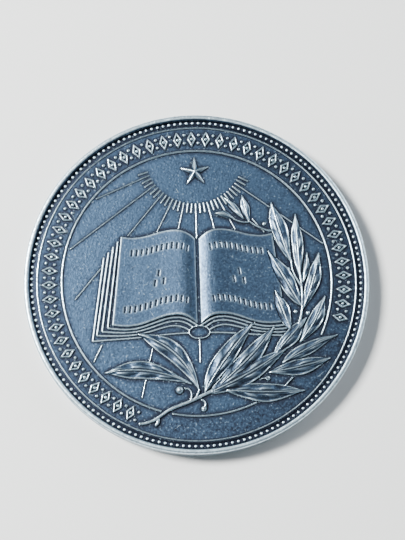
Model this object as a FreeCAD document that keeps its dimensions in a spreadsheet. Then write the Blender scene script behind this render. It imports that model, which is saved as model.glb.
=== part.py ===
import FreeCAD, Part

import math
import os

import Sketcher

# A struck school medal, 40 mm across: a round blank with a raised rim on both faces, and the
# relief of the front, which is an open book under a star and its rays, a laurel branch laid
# over the book, two line circles, a beaded edge and an ornament band.  The reverse has its own
# beads, line circle and a plain wreath.
#
# +Z points out of the front, +Y to the star, +X to the right.  The origin is the centre of the
# plane that the reverse rim rests on.  Lengths are millimetres, angles degrees.

doc = FreeCAD.newDocument("Medal")

# ---------------------------------------------------------------- driving dimensions

SIZES = [
    # blank
    ("outer_radius", 20.0),
    ("total_height", 3.0),
    ("field_level", 2.45),
    ("reverse_level", 0.5),
    ("edge_round", 0.2),
    ("rim_round", 0.1),
    ("rim_top_radius", 19.52),
    ("rim_foot_radius", 19.38),
    ("groove_inner_radius", 18.78),
    ("groove_depth", 0.06),
    # beads
    ("bead_circle", 19.1),
    ("bead_radius", 0.2),
    ("bead_count", 172),
    # line circles
    ("outer_line_radius", 18.5),
    ("outer_line_foot", 0.22),
    ("outer_line_top", 0.1),
    ("outer_line_height", 0.12),
    ("inner_line_radius", 15.66),
    ("inner_line_foot", 0.3),
    ("inner_line_top", 0.14),
    ("inner_line_height", 0.2),
    ("reverse_line_radius", 18.1),
    # ornament band
    ("band_radius", 17.1),
    ("band_start", -16.0),
    ("band_sweep", 258.0),
    ("band_count", 47),
    ("band_height", 0.26),
    ("lozenge_half_long", 0.98),
    ("lozenge_half_wide", 0.52),
    ("lozenge_hole_long", 0.6),
    ("lozenge_hole_wide", 0.3),
    ("band_dot_radius", 0.17),
    ("band_dot_gap", 0.5),
    ("band_dot_aside", 0.85),
    # star
    ("star_x", 0.12),
    ("star_y", 13.1),
    ("star_radius", 1.88),
    ("star_inner_radius", 0.64),
    ("star_wall", 0.13),
    ("star_peak", 0.4),
    ("star_turn", 2.0),
    # sun
    ("sun_x", 0.1),
    ("sun_y", 15.1),
    ("ray_pitch", 4.44),
    ("ray_inner_radius", 5.8),
    ("ray_outer_radius", 7.05),
    ("ray_width", 0.17),
    ("ray_height", 0.17),
    ("ray_pairs", 10),
    ("beam_width", 0.13),
    ("beam_height", 0.15),
    # book
    ("spine_x", 0.12),
    ("page_outer_level", 0.23),
    ("page_crown_level", 0.47),
    ("page_gutter_level", 0.08),
    ("page_reach", 16.0),
    ("page_block", 0.6),
    ("mark_depth", 0.12),
    ("mark_width", 0.17),
    ("mark_length", 0.68),
    ("mark_lean", 0.05),
    ("leaf_edge_width", 0.2),
    ("leaf_edge_level", 0.25),
    ("leaf_edge_step", 0.03),
    ("oval_y", -6.02),
    ("oval_half_long", 1.26),
    ("oval_half_wide", 0.8),
    ("oval_wall", 0.14),
    ("oval_height", 0.24),
    # laurel
    ("laurel_wall", 0.2),
    ("laurel_crest", 0.5),
    ("stem_height", 0.3),
    ("berry_rise", 0.85),
    # reverse wreath
    ("wreath_radius", 15.4),
    ("wreath_count", 44),
    ("wreath_half_long", 1.15),
    ("wreath_bulge", 0.42),
    ("wreath_height", 0.2),
    ("wreath_lean", 25.0),
]

sheet = doc.addObject("Spreadsheet::Sheet", "Dims")
for row, (alias, number) in enumerate(SIZES, start=1):
    sheet.set(f"A{row}", alias)
    sheet.set(f"B{row}", str(number))
    sheet.setAlias(f"B{row}", alias)
doc.recompute()


def size(alias):
    """The number in the sheet's cell of this alias."""
    return float(sheet.get(alias))


def dim(*terms):
    """A sum of sheet cells, as the text that binds it and as a number.

    A term is an alias, or a pair (factor, alias).
    """
    pairs = [(1, term) if isinstance(term, str) else term for term in terms]
    text = " + ".join(f"{factor} * Dims.{alias}" for factor, alias in pairs)
    return text, sum(factor * size(alias) for factor, alias in pairs)


ZERO = ("0", 0.0)

# ---------------------------------------------------------------- document helpers


def new_body(label, level, centre=("", "")):
    """A body whose origin is lifted to a level and moved to a centre, all from the sheet."""
    body = doc.addObject("PartDesign::Body", label)
    body.Label = label
    body.setExpression("Placement.Base.z", level)
    for axis, alias in zip("xy", centre):
        if alias:
            body.setExpression(f"Placement.Base.{axis}", f"Dims.{alias}")
    return body


def datum(body, role):
    """One of the body's own origin planes or axes."""
    return next(item for item in body.Origin.OriginFeatures if item.Role == role)


def new_sketch(body, name, role="XY_Plane"):
    sketch = body.newObject("Sketcher::SketchObject", name)
    sketch.AttachmentSupport = [(datum(body, role), "")]
    sketch.MapMode = "FlatFace"
    return sketch


def hold(sketch, kind, geometry, place):
    """Hold a line's start at a signed distance from the sketch's origin, bound to the sheet."""
    text, number = place
    if number == 0:
        axis = -2 if kind == "DistanceX" else -1
        sketch.addConstraint(Sketcher.Constraint("PointOnObject", geometry, 1, axis))
        return
    index = sketch.addConstraint(Sketcher.Constraint(kind, -1, 1, geometry, 1, number))
    sketch.setExpression(f"Constraints[{index}]", text)


def bound_polygon(sketch, corners):
    """A closed outline whose corners are sums of sheet cells."""
    first = sketch.GeometryCount
    count = len(corners)
    points = [FreeCAD.Vector(x[1], y[1], 0) for x, y in corners]
    for start, end in zip(points, points[1:] + points[:1]):
        sketch.addGeometry(Part.LineSegment(start, end), False)
    for i in range(count):
        following = first + (i + 1) % count
        sketch.addConstraint(Sketcher.Constraint("Coincident", first + i, 2, following, 1))
    for i, (x, y) in enumerate(corners):
        hold(sketch, "DistanceX", first + i, x)
        hold(sketch, "DistanceY", first + i, y)


def bound_circle(sketch, x, y, alias):
    """A circle with its centre and radius bound to the sheet."""
    centre = FreeCAD.Vector(x[1], y[1], 0)
    index = sketch.addGeometry(Part.Circle(centre, FreeCAD.Vector(0, 0, 1), size(alias)), False)
    for kind, place in (("DistanceX", x), ("DistanceY", y)):
        text, number = place
        if number == 0:
            axis = -2 if kind == "DistanceX" else -1
            sketch.addConstraint(Sketcher.Constraint("PointOnObject", index, 3, axis))
        else:
            held = sketch.addConstraint(Sketcher.Constraint(kind, -1, 1, index, 3, number))
            sketch.setExpression(f"Constraints[{held}]", text)
    held = sketch.addConstraint(Sketcher.Constraint("Radius", index, size(alias)))
    sketch.setExpression(f"Constraints[{held}]", f"Dims.{alias}")


def free_polygon(sketch, points):
    """A closed outline through worked-out points."""
    corners = [FreeCAD.Vector(x, y, 0) for x, y in points]
    for start, end in zip(corners, corners[1:] + corners[:1]):
        sketch.addGeometry(Part.LineSegment(start, end), False)


def pad(body, name, sketch, height, down=False):
    feature = body.newObject("PartDesign::Pad", name)
    feature.Profile = sketch
    feature.setExpression("Length", f"Dims.{height}")
    feature.Reversed = down
    return feature


def revolve(body, name, sketch):
    feature = body.newObject("PartDesign::Revolution", name)
    feature.Profile = sketch
    feature.ReferenceAxis = (datum(body, "Z_Axis"), [""])
    feature.Angle = 360
    return feature


def polar(body, name, originals, count, sweep=None, start=None):
    """Copies of features about the body's Z axis: a full circle, or a bound sweep."""
    feature = body.newObject("PartDesign::PolarPattern", name)
    feature.Originals = originals
    feature.Axis = (datum(body, "Z_Axis"), [""])
    feature.Angle = 360
    if sweep:
        feature.setExpression("Angle", sweep)
    feature.setExpression("Occurrences", f"Dims.{count}")
    body.Tip = feature
    return feature


def plain(label, shape, level):
    """A sub-part shaped by Part's own functions, lifted to its level."""
    feature = doc.addObject("Part::Feature", label)
    feature.Label = label
    feature.Shape = shape
    feature.Placement = FreeCAD.Placement(FreeCAD.Vector(0, 0, level), FreeCAD.Rotation())
    return feature


# ---------------------------------------------------------------- blank, circles and beads


def make_disc():
    """The blank: one turned section with both rims, both fields and the front bead groove."""
    body = new_body("medal_disc", "0")
    section = new_sketch(body, "DiscSection", "XZ_Plane")
    groove_floor = dim("field_level", (-1, "groove_depth"))
    bound_polygon(section, [
        (ZERO, dim("reverse_level")),
        (dim("rim_foot_radius"), dim("reverse_level")),
        (dim("rim_top_radius"), ZERO),
        (dim("outer_radius"), ZERO),
        (dim("outer_radius"), dim("total_height")),
        (dim("rim_top_radius"), dim("total_height")),
        (dim("rim_foot_radius"), groove_floor),
        (dim("groove_inner_radius"), groove_floor),
        (dim("groove_inner_radius"), dim("field_level")),
        (ZERO, dim("field_level")),
    ])
    turned = revolve(body, "DiscTurned", section)
    doc.recompute()
    for name, radius, alias in (("EdgeRound", size("outer_radius"), "edge_round"),
                                ("RimRound", size("rim_top_radius"), "rim_round")):
        base = body.Tip
        edges = [f"Edge{i}" for i, edge in enumerate(base.Shape.Edges, start=1)
                 if isinstance(edge.Curve, Part.Circle)
                 and abs(edge.Curve.Radius - radius) < 1e-6]
        feature = body.newObject("PartDesign::Fillet", name)
        feature.Base = (base, edges)
        feature.setExpression("Radius", f"Dims.{alias}")
        doc.recompute()
    return body


def make_line_circle(label, level, radius, upward=1, openings=()):
    """A raised line round the medal; openings are pairs of angles where it is cut away."""
    body = new_body(label, level)
    section = new_sketch(body, "LineSection", "XZ_Plane")
    kind = "inner_line" if radius == "inner_line_radius" else "outer_line"
    top = dim((upward, f"{kind}_height"))
    bound_polygon(section, [
        (dim(radius, (-0.5, f"{kind}_foot")), ZERO),
        (dim(radius, (0.5, f"{kind}_foot")), ZERO),
        (dim(radius, (0.5, f"{kind}_top")), top),
        (dim(radius, (-0.5, f"{kind}_top")), top),
    ])
    revolve(body, "Line", section)
    if openings:
        gaps = new_sketch(body, "Openings")
        for start, end in openings:
            reach = size("outer_radius")
            near = size(radius) - 1
            spread = [(near, start), (reach, start), (reach, end), (near, end)]
            free_polygon(gaps, [(r * math.cos(math.radians(angle)),
                                 r * math.sin(math.radians(angle))) for r, angle in spread])
        cut = body.newObject("PartDesign::Pocket", "OpeningsCut")
        cut.Profile = gaps
        cut.setExpression("Length", f"Dims.{kind}_height")
        cut.Reversed = True
    return body


def make_beads(label, level, upward=True):
    """Half-round beads side by side in the groove inside the rim."""
    body = new_body(label, level)
    bead = body.newObject("PartDesign::AdditiveSphere", "Bead")
    bead.AttachmentSupport = [(datum(body, "XY_Plane"), "")]
    bead.MapMode = "FlatFace"
    bead.setExpression("AttachmentOffset.Base.x", "Dims.bead_circle")
    bead.setExpression("Radius", "Dims.bead_radius")
    bead.Angle1, bead.Angle2 = (0, 90) if upward else (-90, 0)
    polar(body, "BeadRow", [bead], "bead_count")
    return body


def make_band():
    """Upright lozenges and pairs of dots, in place of a legend, round most of the front."""
    body = new_body("ornament_band", "Dims.field_level")
    body.Placement.Rotation = FreeCAD.Rotation(FreeCAD.Vector(0, 0, 1), size("band_start"))
    body.setExpression("Placement.Rotation.Angle", "Dims.band_start")
    sketch = new_sketch(body, "BandMotif")
    middle = dim("band_radius")
    for long, wide in (("lozenge_half_long", "lozenge_half_wide"),
                       ("lozenge_hole_long", "lozenge_hole_wide")):
        bound_polygon(sketch, [
            (dim("band_radius", (-1, long)), ZERO),
            (middle, dim((-1, wide))),
            (dim("band_radius", long), ZERO),
            (middle, dim(wide)),
        ])
    bound_circle(sketch, middle, ZERO, "band_dot_radius")
    for side in (-1, 1):
        bound_circle(sketch, dim("band_radius", (side, "band_dot_gap")), dim("band_dot_aside"),
                     "band_dot_radius")
    motif = pad(body, "Motif", sketch, "band_height")
    polar(body, "Band", [motif], "band_count", "Dims.band_sweep")
    return body


# ---------------------------------------------------------------- star and sun


def make_star():
    """A five-pointed star: a low upright wall, then facets that rise to one peak."""
    body = new_body("star", "Dims.field_level", ("star_x", "star_y"))
    corners = []
    for i in range(10):
        radius = size("star_radius") if i % 2 == 0 else size("star_inner_radius")
        angle = math.radians(90 + size("star_turn") + 36 * i)
        corners.append((radius * math.cos(angle), radius * math.sin(angle)))
    outline = new_sketch(body, "StarOutline")
    free_polygon(outline, corners)
    pad(body, "StarWall", outline, "star_wall")
    shoulder = new_sketch(body, "StarShoulder")
    shoulder.setExpression("AttachmentOffset.Base.z", "Dims.star_wall")
    free_polygon(shoulder, corners)
    peak = new_sketch(body, "StarPeak")
    peak.setExpression("AttachmentOffset.Base.z", "Dims.star_wall + Dims.star_peak")
    peak.addGeometry(Part.Point(FreeCAD.Vector(0, 0, 0)), False)
    facets = body.newObject("PartDesign::AdditiveLoft", "StarFacets")
    facets.Profile = shoulder
    facets.Sections = [(peak, [""])]
    facets.Ruled = True
    return body


def ray_outline(step, inner, outer, width):
    """A thin bar pointing away from the sun; step counts ray pitches from straight down."""
    angle = math.radians(size("ray_pitch") * step)
    along = (math.sin(angle), -math.cos(angle))
    across = (math.cos(angle) * width / 2, math.sin(angle) * width / 2)
    return [(along[0] * r + across[0] * side, along[1] * r + across[1] * side)
            for r, side in ((inner, -1), (outer, -1), (outer, 1), (inner, 1))]


def make_rays():
    """The short rays: two in each space between beams, and one more at the left end."""
    body = new_body("sun_rays", "Dims.field_level", ("sun_x", "sun_y"))
    inner, outer, width = (size("ray_" + key) for key in ("inner_radius", "outer_radius", "width"))
    end = new_sketch(body, "EndRay")
    free_polygon(end, ray_outline(-16, inner, outer, width))
    pad(body, "EndRayPad", end, "ray_height")
    pair = new_sketch(body, "RayPair")
    for step in (-14, -13):
        free_polygon(pair, ray_outline(step, inner, outer, width))
    pair_pad = pad(body, "RayPairPad", pair, "ray_height")
    polar(body, "Rays", [pair_pad], "ray_pairs",
          "3 * Dims.ray_pitch * (Dims.ray_pairs - 1) * 1 deg")
    return body


# Each beam by its ray step, and the distances from the sun where it shows.
BEAMS = [
    (-15, [(5.8, 12.7)]),
    (-12, [(5.8, 18.4)]),
    (-9, [(5.8, 12.5), (17.4, 22.2)]),
    (-6, [(5.8, 10.3), (24.9, 27.2)]),
    (-3, [(5.8, 9.3), (23.2, 29.4)]),
    (0, [(5.8, 10.1), (21.9, 24.7)]),
    (3, [(5.8, 9.3)]),
    (6, [(5.8, 10.2)]),
    (9, [(5.8, 7.05), (10.2, 12.4)]),
    (12, [(5.8, 18.4)]),
]


def make_beams():
    """The long thin beams, some seen again beyond the book."""
    body = new_body("sun_beams_whole", "Dims.field_level", ("sun_x", "sun_y"))
    sketch = new_sketch(body, "Beams")
    for step, stretches in BEAMS:
        for inner, outer in stretches:
            free_polygon(sketch, ray_outline(step, inner, outer, size("beam_width")))
    pad(body, "BeamsPad", sketch, "beam_height")
    return body


# ---------------------------------------------------------------- book

# The page's top and bottom edges, as distances from the spine and heights above the middle.
TOP_EDGE = [(0.17, 4.98), (0.9, 5.62), (1.8, 6.04), (2.9, 6.15), (4.4, 5.9), (6.0, 5.46),
            (7.4, 5.3), (8.85, 5.52)]
BOTTOM_EDGE = [(0.17, -5.1), (0.75, -4.6), (1.6, -4.1), (2.6, -3.95), (4.2, -4.2), (5.8, -4.76),
               (7.4, -5.16), (8.8, -5.2), (10.05, -5.0)]
# The edges of the leaves under the page: where each starts at the top, its outer corner, and
# its run back to the spine.
UNDER_LEAVES = [
    ((9.2, 4.9), (10.55, -5.3), [(8.6, -5.52), (7.1, -5.42), (5.6, -4.97), (4.1, -4.47),
                                 (2.8, -4.24), (1.7, -4.38), (0.75, -4.88), (0.1, -5.3)]),
    ((9.75, 4.3), (11.2, -5.7), [(8.6, -5.88), (7.1, -5.78), (5.4, -5.32), (4.1, -4.9),
                                 (2.8, -4.67), (1.8, -4.8), (0.9, -5.3), (0.4, -5.75)]),
    ((10.3, 3.62), (11.8, -6.14), [(9.4, -6.24), (7.1, -6.12), (5.4, -5.75), (4.1, -5.38),
                                   (2.8, -5.2), (1.8, -5.42), (0.9, -6.0)]),
    ((10.85, 3.05), (12.3, -6.8), [(10.1, -6.66), (7.1, -6.5), (4.4, -6.25), (1.0, -6.1)]),
]
# The page's section: distances from the spine, and the share of the way from the gutter's
# level to the crown's, or past the crown from the outer edge's.
PAGE_RISE = [(0.0, 0.0), (0.5, 0.52), (1.05, 0.88), (1.7, 1.0)]
PAGE_FALL = [(3.0, 0.74), (5.0, 0.32), (7.5, 0.07), (10.5, 0.0)]
# Rows of marks cut into the pages: side, edge that the row follows, its distance from that
# edge, distances of the first and last mark from the spine, and how many marks.
MARK_ROWS = [
    (-1, TOP_EDGE, -1.92, 1.15, 7.6, 12),
    (-1, BOTTOM_EDGE, 1.95, 1.35, 8.5, 13),
    (1, TOP_EDGE, -1.95, 1.55, 7.5, 11),
    (1, BOTTOM_EDGE, 1.92, 1.75, 8.25, 12),
]
# The three single marks in the middle of each page.
SINGLE_MARKS = [
    (-1, [(-4.4, 1.0), (-4.85, -0.2), (-3.85, 0.05)]),
    (1, [(4.95, 1.0), (4.3, 0.1), (5.45, -0.1)]),
]


def spline(points):
    """A smooth curve through points."""
    curve = Part.BSplineCurve()
    curve.interpolate([FreeCAD.Vector(x, y, 0) for x, y in points])
    return curve


def height_on(edge, distance):
    """The height of an edge list at a distance from the spine, between its points."""
    for (near, low), (far, high) in zip(edge, edge[1:]):
        if distance <= far:
            return low + (high - low) * (distance - near) / (far - near)
    return edge[-1][1]


def extrusion(label, sketch, length, direction, symmetric=False):
    feature = doc.addObject("Part::Extrusion", label)
    feature.Base = sketch
    feature.DirMode = "Custom"
    feature.Dir = direction
    feature.Solid = True
    feature.Symmetric = symmetric
    if isinstance(length, str):
        feature.setExpression("LengthFwd", length)
    else:
        feature.LengthFwd = length
    return feature


def combine(kind, label, base, tool):
    feature = doc.addObject(kind, label)
    feature.Base = base
    feature.Tool = tool
    return feature


def free_sketch(name, placement):
    sketch = doc.addObject("Sketcher::SketchObject", name)
    sketch.Placement = placement
    return sketch


def page_block(name, side, drop=None):
    """A page's crowned block without its marks, lowered if a drop is given."""
    spine = size("spine_x")

    def place(points):
        return [(spine + side * x, y) for x, y in points]

    outline = free_sketch(name + "_outline", FreeCAD.Placement())
    top, bottom = place(TOP_EDGE), place(BOTTOM_EDGE)
    for curve in (spline(top), spline(bottom)):
        outline.addGeometry(curve, False)
    for start, end in ((top[0], bottom[0]), (top[-1], bottom[-1])):
        outline.addGeometry(Part.LineSegment(FreeCAD.Vector(*start, 0), FreeCAD.Vector(*end, 0)),
                            False)
    slab = extrusion(name + "_slab", outline, "Dims.page_block", FreeCAD.Vector(0, 0, 1))

    upright = FreeCAD.Placement(FreeCAD.Vector(), FreeCAD.Rotation(FreeCAD.Vector(1, 0, 0), 90))
    section = free_sketch(name + "_section", upright)
    if drop:
        section.setExpression("Placement.Base.z", f"-Dims.{drop}")
    gutter, crest, edge = (size(f"page_{key}_level") for key in ("gutter", "crown", "outer"))
    levels = [(x, gutter + (crest - gutter) * share) for x, share in PAGE_RISE]
    levels += [(x, edge + (crest - edge) * share) for x, share in PAGE_FALL]
    crown = place(levels)
    section.addGeometry(spline(crown), False)
    foot = [crown[0], (crown[0][0], 0.0), (crown[-1][0], 0.0), crown[-1]]
    for start, end in zip(foot, foot[1:]):
        section.addGeometry(Part.LineSegment(FreeCAD.Vector(*start, 0), FreeCAD.Vector(*end, 0)),
                            False)
    arch = extrusion(name + "_arch", section, "Dims.page_reach", FreeCAD.Vector(0, 1, 0),
                     symmetric=True)
    return combine("Part::Common", name, slab, arch)


def make_page(name, side):
    """One page: its outline, crowned beside the gutter, with its marks cut to even depth."""
    spine = size("spine_x")
    marks = free_sketch(name + "_marks", FreeCAD.Placement())
    centres = []
    for row_side, edge, offset, first, last, count in MARK_ROWS:
        if row_side == side:
            for i in range(count):
                x = first + (last - first) * i / (count - 1)
                centres.append((spine + side * x, height_on(edge, x) + offset))
    for mark_side, singles in SINGLE_MARKS:
        if mark_side == side:
            centres += singles
    half_width, half_length = size("mark_width") / 2, size("mark_length") / 2
    lean = size("mark_lean") * side
    for x, y in centres:
        free_polygon(marks, [(x - half_width - lean, y + half_length),
                             (x + half_width - lean, y + half_length),
                             (x + half_width + lean, y - half_length),
                             (x - half_width + lean, y - half_length)])
    cutter = extrusion(name + "_cutter", marks, "Dims.page_block", FreeCAD.Vector(0, 0, 1))
    deep = combine("Part::Cut", name + "_deep", page_block(name + "_whole", side), cutter)
    floors = page_block(name + "_floors", side, "mark_depth")
    return combine("Part::Fuse", name + "_marked", deep, floors)


def ribbon(points, width, height, end_width=None):
    """A flat-topped raised line of even or tapering width along a smooth curve."""
    curve = spline(points)
    end_width = width if end_width is None else end_width
    first, last = curve.FirstParameter, curve.LastParameter
    sides = ([], [])
    for x, y in points:
        at = curve.parameter(FreeCAD.Vector(x, y, 0))
        tangent = curve.tangent(at)[0]
        share = (at - first) / (last - first)
        reach = (width + (end_width - width) * share) / 2
        for side, sign in zip(sides, (1, -1)):
            side.append((x - tangent.y * reach * sign, y + tangent.x * reach * sign))
    left, right = (spline(side) for side in sides)
    caps = [Part.makeLine(left.value(end), right.value(other)) for end, other in
            ((left.FirstParameter, right.FirstParameter), (left.LastParameter, right.LastParameter))]
    wire = Part.Wire(Part.__sortEdges__([left.toShape(), right.toShape()] + caps))
    return Part.Face(wire).extrude(FreeCAD.Vector(0, 0, height))


def straight(start, end, width, height):
    """A flat-topped raised straight line."""
    along = FreeCAD.Vector(end[0] - start[0], end[1] - start[1], 0).normalize()
    across = FreeCAD.Vector(-along.y, along.x, 0) * (width / 2)
    a, b = FreeCAD.Vector(*start, 0), FreeCAD.Vector(*end, 0)
    corners = [a + across, b + across, b - across, a - across]
    return Part.Face(Part.makePolygon(corners + corners[:1])).extrude(FreeCAD.Vector(0, 0, height))


def leaf_edges(side, with_uprights):
    """The edges of the leaves under one page, each a step lower than the one above it."""
    spine, width = size("spine_x"), size("leaf_edge_width")
    solids = []
    for i, (start, corner, run) in enumerate(UNDER_LEAVES):
        height = size("leaf_edge_level") - i * size("leaf_edge_step")
        start, corner, *run = [(spine + side * x, y) for x, y in [start, corner] + run]
        lower = ribbon([corner] + run, width, height)
        if with_uprights:
            lower = lower.fuse(straight(start, corner, width, height)).removeSplitter()
        solids.append(lower)
    return solids


def make_oval():
    """The end of the spine: an oval ring."""
    body = new_body("spine_oval", "Dims.field_level", ("spine_x", "oval_y"))
    sketch = new_sketch(body, "OvalRing")
    for inset in (0.0, size("oval_wall")):
        major = FreeCAD.Vector(size("oval_half_long") - inset, 0, 0)
        minor = FreeCAD.Vector(0, size("oval_half_wide") - inset, 0)
        sketch.addGeometry(Part.Ellipse(major, minor, FreeCAD.Vector(0, 0, 0)), False)
    pad(body, "OvalPad", sketch, "oval_height")
    return body


def oval_prism():
    """The whole space of the oval, as high as the leaf edges that stop at it."""
    major = FreeCAD.Vector(size("oval_half_long"), 0, 0)
    minor = FreeCAD.Vector(0, size("oval_half_wide"), 0)
    rim = Part.Ellipse(major, minor, FreeCAD.Vector(0, 0, 0)).toShape()
    prism = Part.Face(Part.Wire(rim)).extrude(FreeCAD.Vector(0, 0, size("leaf_edge_level")))
    return prism.translated(FreeCAD.Vector(size("spine_x"), size("oval_y"), 0))


# ---------------------------------------------------------------- laurel

# Each leaf: base, middle and tip of its midrib, its widths left and right of it, looking from
# base to tip, and the share of its length where it is widest.  A leaf lies over those after it.
LEAVES = [
    ((1.0, -13.05), (6.0, -10.7), (10.5, -7.8), 1.12, 1.0, 0.4),
    ((0.5, -13.0), (2.9, -9.35), (6.65, -4.9), 1.2, 0.8, 0.45),
    ((8.5, -9.0), (10.4, -6.95), (12.55, -4.6), 0.72, 0.85, 0.5),
    ((-0.1, -12.9), (-2.35, -8.9), (-7.0, -6.1), 1.05, 1.0, 0.58),
    ((1.7, -12.55), (5.5, -9.3), (8.95, -5.4), 0.95, 1.0, 0.5),
    ((9.5, -9.85), (12.6, -8.2), (16.05, -6.7), 0.72, 0.62, 0.42),
    ((11.6, -7.5), (13.3, -5.25), (14.8, -2.1), 0.76, 0.74, 0.52),
    ((12.0, -3.3), (10.4, -0.35), (8.2, 3.65), 0.85, 0.9, 0.45),
    ((12.05, -0.6), (11.85, 3.6), (11.75, 7.75), 0.64, 0.62, 0.58),
    ((12.15, -3.6), (13.4, -0.4), (14.3, 3.05), 0.68, 0.78, 0.52),
    ((2.7, -12.75), (7.5, -13.12), (12.0, -13.05), 1.02, 1.04, 0.5),
    ((7.9, -10.9), (11.5, -10.3), (15.1, -9.4), 0.85, 0.88, 0.52),
    ((-0.9, -12.05), (-5.2, -10.5), (-10.9, -10.5), 1.02, 0.98, 0.6),
    ((10.7, -6.2), (9.85, -3.8), (8.95, -1.15), 0.74, 0.72, 0.5),
    ((11.05, 1.9), (9.88, 5.4), (8.95, 9.2), 0.86, 0.92, 0.55),
    ((12.25, -0.5), (12.72, 1.3), (12.92, 3.1), 0.28, 0.34, 0.5),
    ((6.3, 6.9), (5.88, 8.5), (5.55, 10.15), 0.42, 0.46, 0.5),
    ((5.7, 7.25), (4.5, 8.7), (3.4, 9.95), 0.3, 0.34, 0.5),
    ((4.5, 7.3), (3.55, 7.8), (2.3, 8.0), 0.32, 0.34, 0.5),
]
# Shares of the midrib's length where the leaf's section is set.
STATIONS = (0.0, 0.1, 0.22, 0.36, 0.5, 0.64, 0.78, 0.9, 1.0)
# A leaf is this wide at its very ends, each side; its outline is rounder at the base than at
# the tip; its margins wave by a share of its width, so many times along it.
BLUNT_END = 0.05
BASE_ROUNDNESS = 0.9
TIP_SHARPNESS = 0.35
MARGIN_WAVE = 0.09
MARGIN_WAVES = 1.4
# The midrib stands a little over the walls even at the ends, and rises early.
RIB_LEAST = 0.02
RIB_FULLNESS = 0.6
# Stalks: points along each, width at its start and at its end.
STALKS = [
    ([(-7.1, -16.38), (-6.1, -16.28), (-4.9, -15.75), (-3.6, -14.9), (-1.6, -14.15),
      (0.2, -13.35), (1.5, -12.8), (4.0, -11.7)], 0.32, 0.42),
    ([(11.1, -6.5), (11.7, -5.1), (12.05, -3.6), (12.12, -1.6), (12.05, 0.3)], 0.32, 0.2),
    ([(-1.0, -13.98), (-0.45, -13.4), (-0.1, -12.6)], 0.22, 0.22),
    ([(-1.3, -14.05), (-1.02, -13.4), (-1.15, -12.75), (-1.8, -12.5)], 0.22, 0.16),
    ([(-4.95, -15.85), (-4.9, -16.2), (-5.25, -16.65)], 0.42, 0.3),
    ([(0.05, -13.8), (0.5, -14.15), (0.48, -14.65)], 0.2, 0.26),
    ([(7.0, -11.6), (7.35, -11.56), (7.75, -11.55)], 0.14, 0.18),
    ([(11.05, 2.1), (11.15, 1.0), (11.5, 0.1), (12.05, -0.9)], 0.16, 0.2),
    ([(6.2, 7.05), (7.0, 6.45), (7.9, 6.0), (8.95, 5.75)], 0.16, 0.2),
    ([(4.3, 7.45), (5.2, 6.95), (6.3, 6.85)], 0.14, 0.16),
    ([(9.75, -12.45), (10.2, -11.98), (10.7, -11.5)], 0.2, 0.2),
]
# Berries: centre and radius.
BERRIES = [((-2.35, -12.65), 0.5), ((0.36, -14.85), 0.38), ((7.78, -11.55), 0.34),
           ((11.3, -3.9), 0.27), ((12.72, -4.1), 0.3), ((10.6, 1.15), 0.27), ((8.05, 6.62), 0.26)]


# Nothing smaller than this volume is left standing between the leaves.
LEAST_SCRAP = 0.004


def leaf_solid(base, middle, tip, left, right, widest):
    """A folded leaf, lofted through sections that rise from upright walls to the midrib."""
    arc = Part.Arc(*(FreeCAD.Vector(*point, 0) for point in (base, middle, tip)))
    wall, crest = size("laurel_wall"), size("laurel_crest")
    skew = math.log(0.5) / math.log(widest)
    up = FreeCAD.Vector(0, 0, 1)
    sections = []
    for share in STATIONS:
        at = arc.FirstParameter + share * (arc.LastParameter - arc.FirstParameter)
        centre, along = arc.value(at), arc.tangent(at)[0]
        across = FreeCAD.Vector(-along.y, along.x, 0)
        bow = max(math.sin(math.pi * share ** skew), 0.0)
        fullness = bow ** (BASE_ROUNDNESS + TIP_SHARPNESS * share)
        ridge = wall + RIB_LEAST + (crest - wall - RIB_LEAST) * bow ** RIB_FULLNESS
        turn = 2 * math.pi * MARGIN_WAVES * share
        reach_left = BLUNT_END + left * fullness * (1 + MARGIN_WAVE * math.sin(turn))
        reach_right = BLUNT_END + right * fullness * (1 - MARGIN_WAVE * math.sin(turn))
        corners = [centre + across * reach_left, centre - across * reach_right,
                   centre - across * reach_right + up * wall, centre + up * ridge,
                   centre + across * reach_left + up * wall]
        sections.append(Part.makePolygon(corners + corners[:1]))
    return Part.makeLoft(sections, True, False)


def berry_solid(centre, radius):
    """A berry: the cap of a ball, a little lower than it is wide."""
    rise = radius * size("berry_rise")
    ball = (radius ** 2 + rise ** 2) / (2 * rise)
    start = math.degrees(math.asin((ball - rise) / ball))
    return Part.makeSphere(ball, FreeCAD.Vector(*centre, rise - ball), FreeCAD.Vector(0, 0, 1),
                           start, 90, 360)


def clear_of(shape, others):
    """The shape without what lies over it, and without the scraps that this leaves."""
    near = [other for other in others if shape.BoundBox.intersect(other.BoundBox)]
    if near:
        shape = shape.cut(near)
    kept = [solid for solid in shape.Solids if solid.Volume > LEAST_SCRAP]
    return kept[0] if len(kept) == 1 else Part.makeCompound(kept)


def make_laurel():
    """The branch's nodes, front to back, each cut clear of the ones over it."""
    berries = [berry_solid(*berry) for berry in BERRIES]
    over = list(berries)
    nodes = []
    for number, leaf in enumerate(LEAVES, start=1):
        shape = clear_of(leaf_solid(*leaf), over)
        over.append(shape)
        nodes.append(plain(f"laurel_leaf_{number:02d}", shape, size("field_level")))
    stalks = [clear_of(ribbon(points, start, size("stem_height"), end), over)
              for points, start, end in STALKS]
    stem = stalks[0].fuse(stalks[1:]).removeSplitter()
    over.append(stem)
    nodes.append(plain("laurel_stem", stem, size("field_level")))
    nodes.append(plain("laurel_berries", Part.makeCompound(berries), size("field_level")))
    return nodes, over


# ---------------------------------------------------------------- reverse


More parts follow.
